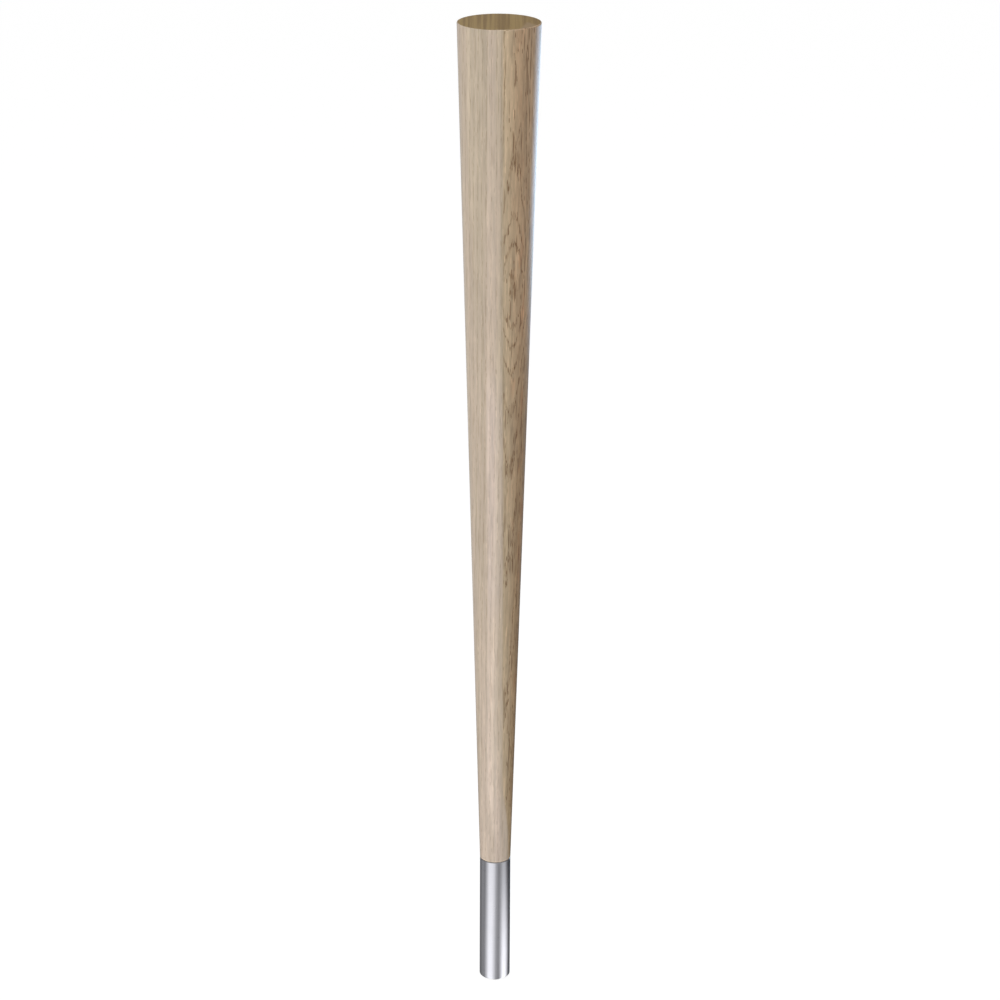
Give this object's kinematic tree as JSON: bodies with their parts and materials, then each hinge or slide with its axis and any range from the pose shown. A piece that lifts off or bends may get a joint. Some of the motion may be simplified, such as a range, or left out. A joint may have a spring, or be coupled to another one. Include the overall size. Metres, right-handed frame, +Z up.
{
  "type": "table leg",
  "caption": "Straight-tapered round oak table leg whose narrow foot ends in a straight aluminium ferrule with a nylon glide.",
  "frame": {"origin": "centre of the flat mounting face on top of the leg, where it meets the table", "axes": "+Z up, along the leg's own axis and out of the mounting face; the leg hangs down to the floor at z = -0.711; +Y is away from the camera"},
  "size_m": [0.0564, 0.0564, 0.711],
  "materials": {
    "oak": "pale oak, thin satin lacquer",
    "ferrule_metal": "fine brushed, satin",
    "glide_nylon": "off-white nylon",
    "screw_steel": "bright zinc"
  },
  "bodies": {
    "root": {"leg_shaft": "oak", "ferrule": "ferrule_metal", "foot_glide": "glide_nylon", "glide_screw": "screw_steel"}
  },
  "joints": []
}
